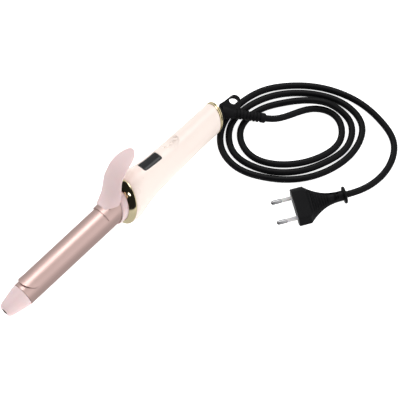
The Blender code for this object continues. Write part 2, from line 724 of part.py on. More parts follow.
def make_rear_ring(iron, looks):
    """Bright ring that closes the handle and carries the swivel."""
    face = HANDLE_REAR + GAP
    rim = HANDLE_OUTLINE[0][1]
    spigot = rim - HANDLE_WALL - GAP
    outline = [(REAR_RING_END, REAR_RING_HOLE), (REAR_RING_END, rim - 0.7),
               (REAR_RING_END - 0.6, rim), (face, rim), (face, spigot), (face - 3.4, spigot),
               (face - 3.4, REAR_RING_HOLE)]
    leaned(turned("rear_ring", outline, looks["gold"], iron, closed=True))


def make_contacts(iron, swivel, looks):
    """Fixed contact block and the two brass rings that turn in it."""
    for name, front in zip(("front", "rear"), SLIP_RINGS_X):
        at = front - SWIVEL_X
        outline = [(at + SLIP_RING_LONG, SLIP_RING_R), (at, SLIP_RING_R),
                   (at, HUB_NECK_R + GAP), (at + SLIP_RING_LONG, HUB_NECK_R + GAP)]
        turned("slip_ring_" + name, outline, looks["brass"], swivel, 32, closed=True)
    inner = SLIP_RING_R + GAP
    rear = HUB_FLANGE_X - 1.0
    turned("contact_block", [(rear, SLIP_BLOCK_R), (HUB_FRONT, SLIP_BLOCK_R),
                             (HUB_FRONT, inner), (rear, inner)],
           looks["insulator"], iron, 32, closed=True)


def make_boot(swivel, looks):
    """Swivel hub, ridged strain relief and hanging loop, moulded in one piece."""
    flange = HUB_FLANGE_X - SWIVEL_X
    flange_end = HUB_FLANGE_END - SWIVEL_X
    front = HUB_FRONT - SWIVEL_X
    outline = [(10.0, 0.0), (9.6, 2.6), (8.4, 5.0), (6.6, 6.7), (4.2, HUB_R),
               (flange_end, HUB_R), (flange_end, HUB_FLANGE_R), (flange, HUB_FLANGE_R),
               (flange, HUB_NECK_R), (front, HUB_NECK_R), (front, 0.0)]
    boot = turned("swivel_boot", outline, looks["rubber"], swivel, 32)
    start = Vector(BOOT_START) - Vector((SWIVEL_X, 0, 0))
    end = Vector(BOOT_END) - Vector((SWIVEL_X, 0, 0))
    long = (end - start).length
    turn = Matrix.Rotation(math.radians(ROLL_DEG), 4, "X")
    way = (turn @ (end - start)).normalized()
    relief = [(long, 0.0), (long, BOOT_R - 0.5), (long - 0.6, BOOT_R), (long - 4.6, BOOT_R)]
    at = long - 5.2
    for _ in range(BOOT_RIDGES):
        relief += [(at, BOOT_R - 0.9), (at - 0.9, BOOT_R - 0.9), (at - 1.1, BOOT_R),
                   (at - BOOT_RIDGE_STEP + 0.2, BOOT_R)]
        at -= BOOT_RIDGE_STEP
    relief += [(at, BOOT_R + 0.1), (4.0, BOOT_R + 1.1), (-2.0, BOOT_R + 1.3), (-2.0, 0.0)]
    sleeve = turned("add_relief", relief, None, swivel, 24)
    sleeve.location = (turn @ start) * MM
    sleeve.rotation_euler = way.to_track_quat("Z", "Y").to_euler()
    boolean(boot, sleeve, "UNION")
    boolean(boot, make_loop(swivel, turn, start, way), "UNION")


def make_loop(swivel, turn, start, way):
    """Flat hanging loop beside the strain relief."""
    up = turn @ Vector((0, 0, 1))
    side = up.cross(way).normalized()
    up = way.cross(side)
    outer = [(-4.6, -1.0), (-4.4, 6.6), (0.0, 10.4), (3.0, 13.5), (5.4, 16.0), (8.0, 17.3),
             (10.8, 17.0), (12.9, 15.4), (14.1, 13.0), (14.6, 10.0), (14.5, 6.0), (14.8, -1.0)]
    hole = arc(LOOP_HOLE_AT, LOOP_HOLE, 0, 345, 24)
    plate = flat_outline("add_loop", [outer, hole], LOOP_THICK, parent=swivel)
    frame = Matrix((way, side, up)).transposed().to_4x4()
    plate.matrix_local = Matrix.Translation((turn @ start) * MM) @ frame
    return plate


# ---------------------------------------------------------------- cord and plug

def plug_section(t):
    """Half width, half height, chamfer and roundness of the plug at a distance from its face."""
    blend = min(max((t - PLUG_BLOCK) / (PLUG_LONG - 6.0 - PLUG_BLOCK), 0.0), 1.0)
    narrow = 1 - (1 - blend) ** 2.1
    half = PLUG_WIDE / 2 + (PLUG_NECK_R - PLUG_WIDE / 2) * narrow
    high = PLUG_THICK / 2 + (PLUG_NECK_R - PLUG_THICK / 2) * blend
    return half, high, min(blend * 1.25, 1.0)


def plug_ring(t, scale=1.0):
    """Points round the plug at a distance from its front face."""
    half, high, roundness = plug_section(t)
    points = []
    count = 24
    for i in range(count):
        turn = 2 * math.pi * (i + 0.5) / count
        c, s = math.cos(turn), math.sin(turn)
        oval = (half * c, high * s)
        reach = 1e9
        for nx, ny, d in ((0, 1, high), (1, 0, half),
                          (high, PLUG_CHAMFER, half * high)):
            along = nx * abs(half * c) + ny * abs(high * s)
            if along > 0:
                reach = min(reach, d / along)
        hexagon = (half * c * reach, high * s * reach)
        points.append(tuple(scale * (a * roundness + b * (1 - roundness))
                            for a, b in zip(oval, hexagon)))
    return points


def make_plug(base, looks):
    """Flat two-pin plug with a waisted grip and a flange where the cord enters."""
    stations = [(0.0, 0.965), (0.5, 1.0), (5.0, 1.0), (PLUG_BLOCK, 1.0), (12.0, 1.0),
                (15.0, 1.0), (18.5, 1.0), (22.5, 1.0), (27.0, 1.0), (32.0, 1.0), (37.0, 1.0),
                (PLUG_LONG, 1.0)]
    made = bmesh.new()
    rings = []
    for t, scale in stations:
        rings.append([made.verts.new(Vector((t, y, z)) * MM) for y, z in plug_ring(t, scale)])
    size = len(rings[0])
    for ring, following in zip(rings, rings[1:]):
        for i in range(size):
            j = (i + 1) % size
            made.faces.new((ring[i], following[i], following[j], ring[j]))
    made.faces.new(rings[0])
    made.faces.new(list(reversed(rings[-1])))
    bmesh.ops.recalc_face_normals(made, faces=made.faces[:])
    mesh = bpy.data.meshes.new("plug_body")
    made.to_mesh(mesh)
    made.free()
    body = link(bpy.data.objects.new("plug_body", mesh), looks["rubber"], base)
    smooth(body, 30)
    ring = turned("add_flange", [(PLUG_FLANGE_THICK / 2, 0.0), (PLUG_FLANGE_THICK / 2, 0.86),
                                 (0.2, 1.0), (-0.2, 1.0), (-PLUG_FLANGE_THICK / 2, 0.86),
                                 (-PLUG_FLANGE_THICK / 2, 0.0)], None, base, 32)
    mesh = evaluated_mesh(ring)
    mesh.transform(Matrix.Diagonal((PLUG_FLANGE_HIGH, PLUG_FLANGE_R, 1.0, 1.0)))
    ring.modifiers.clear()
    ring.data = mesh
    ring.location = (PLUG_LONG * MM, 0, 0)
    boolean(body, ring, "UNION")
    for name, side in (("left", 1), ("right", -1)):
        y = side * PIN_STEP / 2
        boolean(body, rod("cut_pin_" + name, PLUG_PIN_R + GAP, (-5, y, 0), (PIN_SOCKET, y, 0),
                          parent=base))
        make_pin(name, y, base, looks)


def make_pin(name, y, base, looks):
    """One round pin and the insulating sleeve on its root."""
    root = PIN_SOCKET - GAP
    core = 1.2
    tip = -PLUG_PIN_LONG
    neck = -SLEEVE_LONG - GAP
    pin = turned("plug_pin_" + name,
                 [(root, 0.0), (root, core), (neck, core), (neck, PLUG_PIN_R),
                  (tip + 1.4, PLUG_PIN_R), (tip + 0.5, PLUG_PIN_R * 0.85),
                  (tip, PLUG_PIN_R * 0.5), (tip, 0.0)], looks["steel"], base, SMALL_ROUND)
    pin.location = (0, y * MM, 0)
    sleeve = turned("pin_sleeve_" + name,
                    [(root, PLUG_PIN_R - 0.05), (-SLEEVE_LONG, PLUG_PIN_R - 0.05),
                     (-SLEEVE_LONG, core + GAP), (root, core + GAP)],
                    looks["sleeve"], base, SMALL_ROUND, closed=True)
    sleeve.location = (0, y * MM, 0)


def make_cord(stand, looks):
    """The cord from the strain relief, three turns round the coil and out to the plug."""
    relief = Vector(BOOT_END) + Vector((0, 0, AXIS_Z))
    way = (Vector(BOOT_END) - Vector(BOOT_START)).normalized()
    turn = math.radians(PLUG_TURN_DEG)
    axis = Vector((math.cos(turn), math.sin(turn), 0))
    face = Vector((*PLUG_FACE, PLUG_THICK / 2))
    entry = face + axis * (PLUG_LONG + PLUG_FLANGE_THICK / 2 + CORD_GAP)
    start = relief + way * CORD_GAP
    aside = Vector((-axis.y, axis.x, 0))
    lead_in = [face + axis * (PLUG_LONG + past) + aside * off + Vector((0, 0, high - face.z))
               for past, off, high in CORD_ENTRY]
    route = [tuple(start), *CORD_ROUTE, *map(tuple, lead_in), tuple(entry)]
    points = through(route, CORD_POINTS, CORD_D / 2)
    tube("cord", [tuple(p) for p in points], CORD_D / 2, looks["cord"], stand)


# ---------------------------------------------------------------- assembly

def main():
    """Build every piece in its place."""
    for obj in list(bpy.data.objects):
        bpy.data.objects.remove(obj)
    looks = {
        "barrel": material("barrel_metal", (0.72, 0.47, 0.42), 1.0, 0.22),
        "clamp": material("clamp_metal", (0.74, 0.49, 0.44), 1.0, 0.2),
        "pink": material("pink_plastic", (0.78, 0.6, 0.6), 0.0, 0.4),
        "cream": material("cream_shell", (0.93, 0.84, 0.78), 0.0, 0.25),
        "gold": material("gold_plating", (0.83, 0.6, 0.25), 1.0, 0.12),
        "glass": material("display_glass", (0.01, 0.01, 0.01), 0.0, 0.05),
        "dark": material("dark_cap", (0.05, 0.04, 0.04), 0.0, 0.5),
        "rubber": material("black_rubber", (0.02, 0.02, 0.02), 0.0, 0.6),
        "cord": material("cord_jacket", (0.02, 0.02, 0.02), 0.0, 0.5),
        "steel": material("steel", (0.6, 0.6, 0.6), 1.0, 0.25),
        "brass": material("brass", (0.7, 0.5, 0.2), 1.0, 0.3),
        "alloy": material("aluminium", (0.75, 0.75, 0.76), 1.0, 0.4),
        "ceramic": material("ceramic", (0.85, 0.84, 0.8), 0.0, 0.6),
        "insulator": material("insulator", (0.55, 0.5, 0.42), 0.0, 0.7),
        "board": material("board", (0.03, 0.16, 0.07), 0.0, 0.5),
        "sleeve": material("sleeve", (0.75, 0.75, 0.72), 0.0, 0.5),
    }
    stand = empty("stand", (STAND_X, STAND_Y, 0))
    iron = empty("iron_axis", (0, 0, AXIS_Z), (-math.radians(ROLL_DEG), 0, 0), stand)
    hinge = empty("hinge_axis", (HINGE_X, 0, HINGE_Z), parent=iron)
    clamp = empty("clamp_frame", (-HINGE_X, 0, -HINGE_Z), parent=hinge)
    buttons = empty("button_axis", turn=(-math.radians(BUTTON_TILT_DEG), 0, 0), parent=iron)
    swivel = empty("swivel_axis", (SWIVEL_X, 0, 0), parent=iron)
    plug = empty("plug_axis", (*PLUG_FACE, PLUG_THICK / 2),
                 (0, 0, math.radians(PLUG_TURN_DEG)), stand)
    make_tip(iron, looks)
    make_barrel(iron, looks)
    make_heater(iron, looks)
    make_blade(clamp, looks)
    make_saddle(clamp, looks)
    make_lever(clamp, looks)
    make_hinge(iron, looks)
    make_front_ring(iron, looks)
    make_handle(iron, buttons, looks)
    make_display(iron, looks)
    make_buttons(buttons, looks)
    make_rear_ring(iron, looks)
    make_contacts(iron, swivel, looks)
    make_boot(swivel, looks)
    make_cord(stand, looks)
    make_plug(plug, looks)


main()
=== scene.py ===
"""Looks of the curling iron: materials, detailed pieces, cord, studio and camera."""
import math

import bmesh
import bpy
import numpy as np
from mathutils import Matrix, Vector


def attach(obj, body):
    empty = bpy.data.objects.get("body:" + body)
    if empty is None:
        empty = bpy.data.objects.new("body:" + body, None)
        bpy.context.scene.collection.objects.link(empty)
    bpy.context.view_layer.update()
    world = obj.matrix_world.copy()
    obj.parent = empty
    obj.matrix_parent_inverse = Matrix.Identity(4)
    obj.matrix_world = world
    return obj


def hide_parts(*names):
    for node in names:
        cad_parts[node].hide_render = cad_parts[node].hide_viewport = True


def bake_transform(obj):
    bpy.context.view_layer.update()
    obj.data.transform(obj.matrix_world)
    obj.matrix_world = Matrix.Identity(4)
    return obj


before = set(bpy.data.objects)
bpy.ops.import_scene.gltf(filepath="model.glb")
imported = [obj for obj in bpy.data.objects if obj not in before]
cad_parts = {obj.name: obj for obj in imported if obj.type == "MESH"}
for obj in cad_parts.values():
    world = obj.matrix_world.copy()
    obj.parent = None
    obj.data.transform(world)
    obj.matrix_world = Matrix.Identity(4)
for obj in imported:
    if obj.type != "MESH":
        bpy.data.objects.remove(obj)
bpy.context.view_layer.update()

# ---------------------------------------------------------------- the iron's frame (mm)
MM = 0.001
ROLL = math.radians(27.0)
STAND = Vector((40.66, 3.11, 0.0))
AXIS_Z = 19.4
LEAN = math.tan(math.radians(29.0))
BUTTON_TILT = math.radians(12.0)

IRON = (Matrix.Translation((STAND + Vector((0, 0, AXIS_Z))) * MM)
        @ Matrix.Rotation(-ROLL, 4, "X"))
BUTTONS = IRON @ Matrix.Rotation(-BUTTON_TILT, 4, "X")

# ---------------------------------------------------------------- cord and plug
CORD_D = 6.0
BOOT_START = Vector((77.5, -2.2, -1.8))
BOOT_END = Vector((101.7, -29.9, -9.9))
BOOT_HOLDS = 3.0            # of the cord inside the strain relief
PLUG_HOLDS = 1.5            # of the cord inside the plug
# x, y, height from the stand, from the strain relief round the coil to the plug. Traced by
# eye in the photo, put on the table and sampled evenly by a scratch script, then nudged.
CORD_ROUTE = (
    (105.8, -34.2, 8.5), (121.2, -42.2, 4.8), (140.9, -52.7, 3.0), (148.8, -72.5, 3.0),
    (136.3, -89.0, 3.0), (114.0, -88.4, 3.0), (94.1, -78.4, 3.0), (77.8, -62.7, 3.0),
    (69.7, -41.7, 3.0), (78.8, -21.8, 3.0), (100.8, -18.1, 3.0), (121.7, -27.1, 3.0),
    (139.0, -41.7, 6.8), (152.0, -60.7, 8.4), (155.0, -71.4, 5.6), (154.4, -82.9, 2.9),
    (137.3, -97.3, 3.0), (114.6, -95.4, 3.0), (93.5, -86.6, 3.0), (75.9, -72.1, 3.0),
    (64.0, -52.7, 3.0), (61.3, -30.2, 3.0), (75.9, -12.3, 3.0), (99.2, -9.8, 3.0),
    (121.0, -16.9, 3.0), (139.6, -30.5, 3.0), (154.4, -48.8, 3.0), (163.0, -71.0, 3.0),
    (159.1, -93.2, 3.0), (139.2, -104.3, 3.0), (116.4, -103.8, 3.0), (94.9, -95.9, 3.0),
    (76.6, -82.3, 3.0), (62.3, -64.4, 3.0), (53.2, -43.5, 3.0), (56.3, -20.9, 3.0),
    (73.7, -6.0, 3.0), (97.0, -2.9, 3.0), (119.6, -7.9, 3.0), (138.9, -20.4, 3.0),
    (154.9, -37.0, 3.0), (166.9, -57.2, 3.0), (173.6, -79.6, 3.0), (174.0, -102.7, 3.0),
    (167.4, -124.3, 3.0), (148.1, -136.6, 3.0), (126.5, -137.6, 3.6), (112.0, -133.8, 5.8),
)
PLUG_FACE = Vector((61.6, -106.3, 6.85))
PLUG_TURN = math.radians(-29.4)
PLUG_LONG = 45.2
PLUG_HEAD = 11.0             # straight part behind the face
PLUG_TAIL = 5.0              # straight part before the flange
PLUG_HALF, PLUG_HIGH = 17.65, 6.85
TAIL_R = 4.6
PIN_SIDE = 9.5               # a pin from the plug's middle
PLUG = (Matrix.Translation((PLUG_FACE + STAND) * MM) @ Matrix.Rotation(PLUG_TURN, 4, "Z"))

# ---------------------------------------------------------------- helpers

STUDIO = bpy.data.collections.new("studio")
PIECES = bpy.data.collections.new("pieces")
bpy.context.scene.collection.children.link(STUDIO)
bpy.context.scene.collection.children.link(PIECES)


def through(points, count):
    """Evenly spaced points on a natural cubic spline through rows of numbers, and its length."""
    route = np.array(points, float)
    spans = np.linalg.norm(np.diff(route[:, :3], axis=0), axis=1)
    knots = np.concatenate([[0.0], np.cumsum(spans)])
    size, wide = route.shape
    grid = np.zeros((size, size))
    right = np.zeros((size, wide))
    grid[0, 0] = grid[-1, -1] = 1.0
    for i in range(1, size - 1):
        before, after = spans[i - 1], spans[i]
        grid[i, i - 1:i + 2] = before, 2 * (before + after), after
        right[i] = 6 * ((route[i + 1] - route[i]) / after - (route[i] - route[i - 1]) / before)
    bend = np.linalg.solve(grid, right)
    fine = np.linspace(0.0, knots[-1], 60 * size)
    at = np.clip(np.searchsorted(knots, fine, side="right") - 1, 0, size - 2)
    span = spans[at][:, None]
    back = (knots[at + 1] - fine)[:, None] / span
    ahead = 1.0 - back
    line = (back * route[at] + ahead * route[at + 1]
            + ((back ** 3 - back) * bend[at] + (ahead ** 3 - ahead) * bend[at + 1])
            * span ** 2 / 6)
    run = np.linalg.norm(np.diff(line[:, :3], axis=0), axis=1)
    run = np.concatenate([[0.0], np.cumsum(run)])
    evenly = np.linspace(0.0, run[-1], count)
    return np.stack([np.interp(evenly, run, line[:, i]) for i in range(wide)], axis=1), run[-1]


def skinned(made, rings, closed=False):
    """Walls between rings of vertices, and end caps unless the last meets the first."""
    pairs = list(zip(rings, rings[1:]))
    if closed:
        pairs.append((rings[-1], rings[0]))
    for ring, following in pairs:
        for k in range(len(ring)):
            j = (k + 1) % len(ring)
            made.faces.new((ring[k], ring[j], following[j], following[k]))
    if not closed:
        made.faces.new(list(reversed(rings[0])))
        made.faces.new(rings[-1])


def swept(name, line, radius, sides):
    """A round tube along a line of points, as one mesh."""
    made = bmesh.new()
    line = [Vector(p) for p in line]
    rings = []
    normal = None
    for i, p in enumerate(line):
        way = (line[min(i + 1, len(line) - 1)] - line[max(i - 1, 0)]).normalized()
        if normal is None:
            normal = way.orthogonal().normalized()
        normal = (normal - way * normal.dot(way)).normalized()
        other = way.cross(normal)
        size = radius[i] if hasattr(radius, "__len__") else radius
        rings.append([made.verts.new(p + (normal * math.cos(a) + other * math.sin(a)) * size)
                      for a in (2 * math.pi * k / sides for k in range(sides))])
    skinned(made, rings)
    return from_bmesh(name, made)


def from_bmesh(name, made, collection=PIECES, flat_deg=35.0):
    """An object from a finished bmesh, shaded smooth."""
    mesh = bpy.data.meshes.new(name)
    made.to_mesh(mesh)
    made.free()
    obj = bpy.data.objects.new(name, mesh)
    collection.objects.link(obj)
    mesh.shade_smooth()
    mesh.set_sharp_from_angle(angle=math.radians(flat_deg))
    return obj


def look(obj, material):
    """Give a piece its material."""
    obj.data.materials.clear()
    obj.data.materials.append(material)
    return obj


# ---------------------------------------------------------------- materials

POLISH_GRAIN = 0.000002      # depth of the relief on polished metal (m)
FINE_GRAIN = 0.00002         # on lacquer and moulded plastic
COARSE_GRAIN = 0.00003       # on rubber and PVC
CLOUD_TINT = 0.03            # how much darker the clouding of a plastic gets


def nodes_of(material):
    """The material's nodes and a function that joins two sockets."""
    tree = material.node_tree
    return tree.nodes, tree.links.new


def plain(name, colour, rough, metallic=0.0):
    """A Principled material to build on; returns it with its shader."""
    made = bpy.data.materials.new(name)
    made.use_nodes = True
    shader = made.node_tree.nodes["Principled BSDF"]
    shader.inputs["Base Color"].default_value = (*colour, 1)
    shader.inputs["Roughness"].default_value = rough
    shader.inputs["Metallic"].default_value = metallic
    return made, shader


def noise(material, scale, detail=2.0, stretch=(1, 1, 1)):
    """A noise texture on object coordinates."""
    nodes, join = nodes_of(material)
    where = nodes.new("ShaderNodeTexCoord")
    place = nodes.new("ShaderNodeMapping")
    place.inputs["Scale"].default_value = stretch
    texture = nodes.new("ShaderNodeTexNoise")
    texture.inputs["Scale"].default_value = scale
    texture.inputs["Detail"].default_value = detail
    join(where.outputs["Object"], place.inputs["Vector"])
    join(place.outputs["Vector"], texture.inputs["Vector"])
    return texture.outputs["Fac"]


def remap(material, value, low, high, into_low, into_high):
    """A value taken from one range to another."""
    nodes, join = nodes_of(material)
    node = nodes.new("ShaderNodeMapRange")
    node.inputs["From Min"].default_value = low
    node.inputs["From Max"].default_value = high
    node.inputs["To Min"].default_value = into_low
    node.inputs["To Max"].default_value = into_high
    join(value, node.inputs["Value"])
    return node.outputs["Result"]


def bump(material, shader, height, distance, strength):
    """Small relief on the shader's normal."""
    nodes, join = nodes_of(material)
    node = nodes.new("ShaderNodeBump")
    node.inputs["Distance"].default_value = distance
    node.inputs["Strength"].default_value = strength
    join(height, node.inputs["Height"])
    join(node.outputs["Normal"], shader.inputs["Normal"])


def vary(material, shader, value, first, second):
    """Blend the base colour between two by a value."""
    nodes, join = nodes_of(material)
    node = nodes.new("ShaderNodeMix")
    node.data_type = "RGBA"
    node.inputs["A"].default_value = (*first, 1)
    node.inputs["B"].default_value = (*second, 1)
    join(value, node.inputs["Factor"])
    join(node.outputs["Result"], shader.inputs["Base Color"])


def rose_metal():
    """Rose-gold lacquered metal with a fine lengthwise grain."""
    made, shader = plain("rose_metal", (0.65, 0.465, 0.43), 0.3, 1.0)
    _, join = nodes_of(made)
    grain = noise(made, 900, 3, (0.06, 1, 1))
    wear = noise(made, 60, 4)
    vary(made, shader, wear, (0.63, 0.45, 0.415), (0.675, 0.485, 0.45))
    join(remap(made, wear, 0.3, 0.7, 0.33, 0.4), shader.inputs["Roughness"])
    bump(made, shader, grain, FINE_GRAIN, 0.5)
    return made


def satin_plastic(name, colour, rough):
    """Moulded plastic with a fine even texture."""
    made, shader = plain(name, colour, rough)
    _, join = nodes_of(made)
    cloud = noise(made, 45, 3)
    darker = tuple(c * (1 - CLOUD_TINT) for c in colour)
    vary(made, shader, cloud, darker, colour)
    join(remap(made, cloud, 0.3, 0.7, rough - 0.03, rough + 0.04), shader.inputs["Roughness"])
    bump(made, shader, noise(made, 2600, 2), FINE_GRAIN, 0.4)
    shader.inputs["Subsurface Weight"].default_value = 0.12
    shader.inputs["Subsurface Scale"].default_value = 0.002
    return made


def pearl():
    """Cream pearl lacquer: soft sparkle under a clear coat."""
    made, shader = plain("pearl_cream", (0.9, 0.78, 0.7), 0.3)
    _, join = nodes_of(made)
    cloud = noise(made, 30, 3)
    vary(made, shader, cloud, (0.93, 0.80, 0.73), (0.95, 0.83, 0.76))
    flake = noise(made, 4200, 1)
    bump(made, shader, flake, FINE_GRAIN, 0.25)
    join(remap(made, cloud, 0.3, 0.7, 0.26, 0.34), shader.inputs["Roughness"])
    shader.inputs["Coat Weight"].default_value = 0.5
    shader.inputs["Coat Roughness"].default_value = 0.1
    shader.inputs["Sheen Weight"].default_value = 0.1
    return made


def gold():
    """Polished plated gold with faint wear."""
    made, shader = plain("plated_gold", (0.85, 0.72, 0.42), 0.1, 1.0)
    _, join = nodes_of(made)
    wear = noise(made, 140, 5)
    join(remap(made, wear, 0.35, 0.75, 0.07, 0.12), shader.inputs["Roughness"])
    vary(made, shader, wear, (0.87, 0.76, 0.5), (0.85, 0.73, 0.46))
    bump(made, shader, noise(made, 500, 2), POLISH_GRAIN, 0.3)
    return made


def glass():
    """Black display window."""
    made, shader = plain("display_black", (0.003, 0.003, 0.004), 0.06)
    _, join = nodes_of(made)
    smear = noise(made, 120, 4)
    join(remap(made, smear, 0.3, 0.8, 0.04, 0.16), shader.inputs["Roughness"])
    shader.inputs["Specular IOR Level"].default_value = 0.3
    shader.inputs["Coat Weight"].default_value = 0.2
    shader.inputs["Coat Roughness"].default_value = 0.03
    return made


def black(name, rough, colour=(0.0025, 0.0025, 0.003)):
    """Satin black moulded PVC."""
    made, shader = plain(name, colour, rough)
    _, join = nodes_of(made)
    cloud = noise(made, 80, 4)
    vary(made, shader, cloud, colour, tuple(c * 1.7 for c in colour))
    join(remap(made, cloud, 0.3, 0.7, rough - 0.06, rough + 0.08), shader.inputs["Roughness"])
    shader.inputs["Specular IOR Level"].default_value = 0.12
    bump(made, shader, noise(made, 1500, 3), COARSE_GRAIN, 0.5)
    return made


def metal(name, colour, rough):
    """Plain turned metal with a fine grain."""
    made, shader = plain(name, colour, rough, 1.0)
    _, join = nodes_of(made)
    wear = noise(made, 220, 4)
    join(remap(made, wear, 0.3, 0.7, rough - 0.03, rough + 0.05), shader.inputs["Roughness"])
    bump(made, shader, noise(made, 2500, 2), POLISH_GRAIN, 0.4)
    return made


LOOKS = {
    "barrel_metal": rose_metal(),
    "clamp_metal": rose_metal(),
    "pink_plastic": satin_plastic("pink_satin", (0.79, 0.615, 0.615), 0.36),
    "cream_shell": pearl(),
    "gold_plating": gold(),
    "display_glass": glass(),
    "dark_cap": black("cap_dark", 0.5, (0.02, 0.015, 0.014)),
    "bezel": black("bezel_black", 0.25, (0.05, 0.05, 0.052)),
    "black_rubber": black("rubber_black", 0.42),
    "plug_black": black("plug_black", 0.35),
    "cord_jacket": black("cord_black", 0.38),
    "steel": metal("pin_steel", (0.42, 0.42, 0.43), 0.2),
    "brass": metal("ring_brass", (0.7, 0.5, 0.22), 0.25),
    "alloy": metal("bar_alloy", (0.7, 0.7, 0.71), 0.4),
    "ceramic": satin_plastic("heater_white", (0.8, 0.79, 0.75), 0.6),
    "insulator": satin_plastic("block_tan", (0.5, 0.44, 0.35), 0.6),
    "board": satin_plastic("board_green", (0.02, 0.14, 0.06), 0.5),
    "pin_sleeve": satin_plastic("sleeve_grey", (0.62, 0.62, 0.62), 0.45),
}


# ---------------------------------------------------------------- studio

VIEW_TURN_DEG = -44.7
VIEW_RISE_DEG = 70.94
VIEW_FAR = 3.0               # m
VIEW_LENS = 308.2            # mm
VIEW_CENTRE = Vector((0.05026, -0.03815, 0.0))
LIGHTS_AIM = Vector((0.03, 0.0, 0.0))


def make_camera():
    """Camera at the picture's angle, far enough off for little perspective."""
    turn, rise = math.radians(VIEW_TURN_DEG), math.radians(VIEW_RISE_DEG)
    away = Vector((math.sin(turn) * math.cos(rise), -math.cos(turn) * math.cos(rise),
                   math.sin(rise)))
    data = bpy.data.cameras.new("camera")
    data.lens = VIEW_LENS
    data.sensor_width = 36
    data.clip_start = 0.05
    data.clip_end = 20
    obj = bpy.data.objects.new("camera", data)
    STUDIO.objects.link(obj)
    obj.location = VIEW_CENTRE + away * VIEW_FAR
    obj.rotation_mode = "QUATERNION"
    obj.rotation_quaternion = (-away).to_track_quat("-Z", "Y")
    bpy.context.scene.camera = obj
    return obj


def area_light(name, way, far, size, power):
    """A soft rectangular light, its long side along X, aimed at the iron."""
    data = bpy.data.lights.new(name, "AREA")
    data.shape = "RECTANGLE"
    data.size, data.size_y = size
    data.energy = power
    obj = bpy.data.objects.new(name, data)
    STUDIO.objects.link(obj)
    way = Vector(way).normalized()
    x = (Vector((1, 0, 0)) - way * way.x).normalized()
    y = way.cross(x)
    obj.matrix_world = Matrix((x, y, way)).transposed().to_4x4()
    obj.location = LIGHTS_AIM + way * far
    return obj


def eased(nodes, low, high, into_low, into_high):
    """A smooth step from one range to another, to be joined up."""
    node = nodes.new("ShaderNodeMapRange")
    node.interpolation_type = "SMOOTHSTEP"
    for key, value in (("From Min", low), ("From Max", high),
                       ("To Min", into_low), ("To Max", into_high)):
        node.inputs[key].default_value = value
    return node


def make_world():
    """Even pale surroundings, dimmer below, with a dark card towards the iron's tip.

    The card leans back as it rises. Its lower edge is a slant too, higher on
    the near side (low Y), and the surroundings under it stay pale.
    """
    world = bpy.data.worlds.new("world")
    bpy.context.scene.world = world
    world.use_nodes = True
    nodes, join = world.node_tree.nodes, world.node_tree.links.new
    where = nodes.new("ShaderNodeTexCoord")
    split = nodes.new("ShaderNodeSeparateXYZ")
    join(where.outputs["Generated"], split.inputs["Vector"])
    height = eased(nodes, -0.15, 0.5, 0.6, 0.86)
    join(split.outputs["Z"], height.inputs["Value"])
    card = eased(nodes, -0.56, -0.46, 0.02, 1.0)
    over = nodes.new("ShaderNodeMath")
    over.operation = "MULTIPLY_ADD"
    over.inputs[1].default_value = -0.45
    join(split.outputs["Z"], over.inputs[0])
    join(split.outputs["X"], over.inputs[2])
    join(over.outputs["Value"], card.inputs["Value"])
    side = nodes.new("ShaderNodeMath")
    side.operation = "MULTIPLY_ADD"
    side.inputs[1].default_value = 0.55
    join(split.outputs["Y"], side.inputs[0])
    join(split.outputs["Z"], side.inputs[2])
    below = eased(nodes, -0.04, 0.06, 1.0, 0.0)
    join(side.outputs["Value"], below.inputs["Value"])
    either = nodes.new("ShaderNodeMath")
    either.operation = "MAXIMUM"
    join(card.outputs["Result"], either.inputs[0])
    join(below.outputs["Result"], either.inputs[1])
    level = nodes.new("ShaderNodeMath")
    level.operation = "MULTIPLY"
    join(height.outputs["Result"], level.inputs[0])
    join(either.outputs["Value"], level.inputs[1])
    join(level.outputs["Value"], nodes["Background"].inputs["Strength"])
    nodes["Background"].inputs["Color"].default_value = (1, 1, 1, 1)


def make_studio():
    """White floor and soft light."""
    made = bmesh.new()
    bmesh.ops.create_grid(made, x_segments=1, y_segments=1, size=3)
    floor = from_bmesh("floor", made, STUDIO)
    white, shader = plain("floor_white", (0.93, 0.93, 0.93), 0.7)
    _, join = nodes_of(white)
    join(remap(white, noise(white, 6, 3), 0.3, 0.7, 0.66, 0.74), shader.inputs["Roughness"])
    shader.inputs["Emission Color"].default_value = (1, 1, 1, 1)
    shader.inputs["Emission Strength"].default_value = 0.85
    look(floor, white)
    floor.location.z = -0.0003
    floor.visible_glossy = False
    make_world()
    area_light("strip_far", (0.23, 0.54, 0.84), 1.2, (2.2, 0.55), 8)
    area_light("box_near", (0.23, -0.60, 0.80), 1.3, (1.8, 1.2), 1.5)
    fill = area_light("fill_near", (0.1, -0.85, 0.4), 1.4, (2.0, 1.2), 4)
    fill.visible_glossy = False
    front = area_light("fill_front", (-0.85, -0.35, 0.45), 1.4, (1.2, 1.2), 5)
    front.visible_glossy = False
    area_light("spark", (-0.84, 0.33, 0.44), 1.2, (0.09, 0.24), 0.3)


# ---------------------------------------------------------------- cord

def make_cord():
    """The free cord: out of the strain relief, three turns and into the plug."""
    way = (BOOT_END - BOOT_START).normalized()
    axis = Vector((math.cos(PLUG_TURN), math.sin(PLUG_TURN), 0))
    entry = PLUG_FACE + axis * (PLUG_LONG - PLUG_HOLDS)
    relief = BOOT_END + Vector((0, 0, AXIS_Z))
    start = relief - way * BOOT_HOLDS
    route = [tuple(start), *CORD_ROUTE, tuple(entry)]
    line, length = through(route, 360)
    line[:, 2] = np.maximum(line[:, 2], CORD_D / 2)
    world = (line + np.array(STAND)) * MM
    cord = swept("power_cord", world, CORD_D / 2 * MM, 20)
    look(cord, LOOKS["cord_jacket"])
    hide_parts("cord")
    return cord, world, length * MM


# ---------------------------------------------------------------- detailed pieces

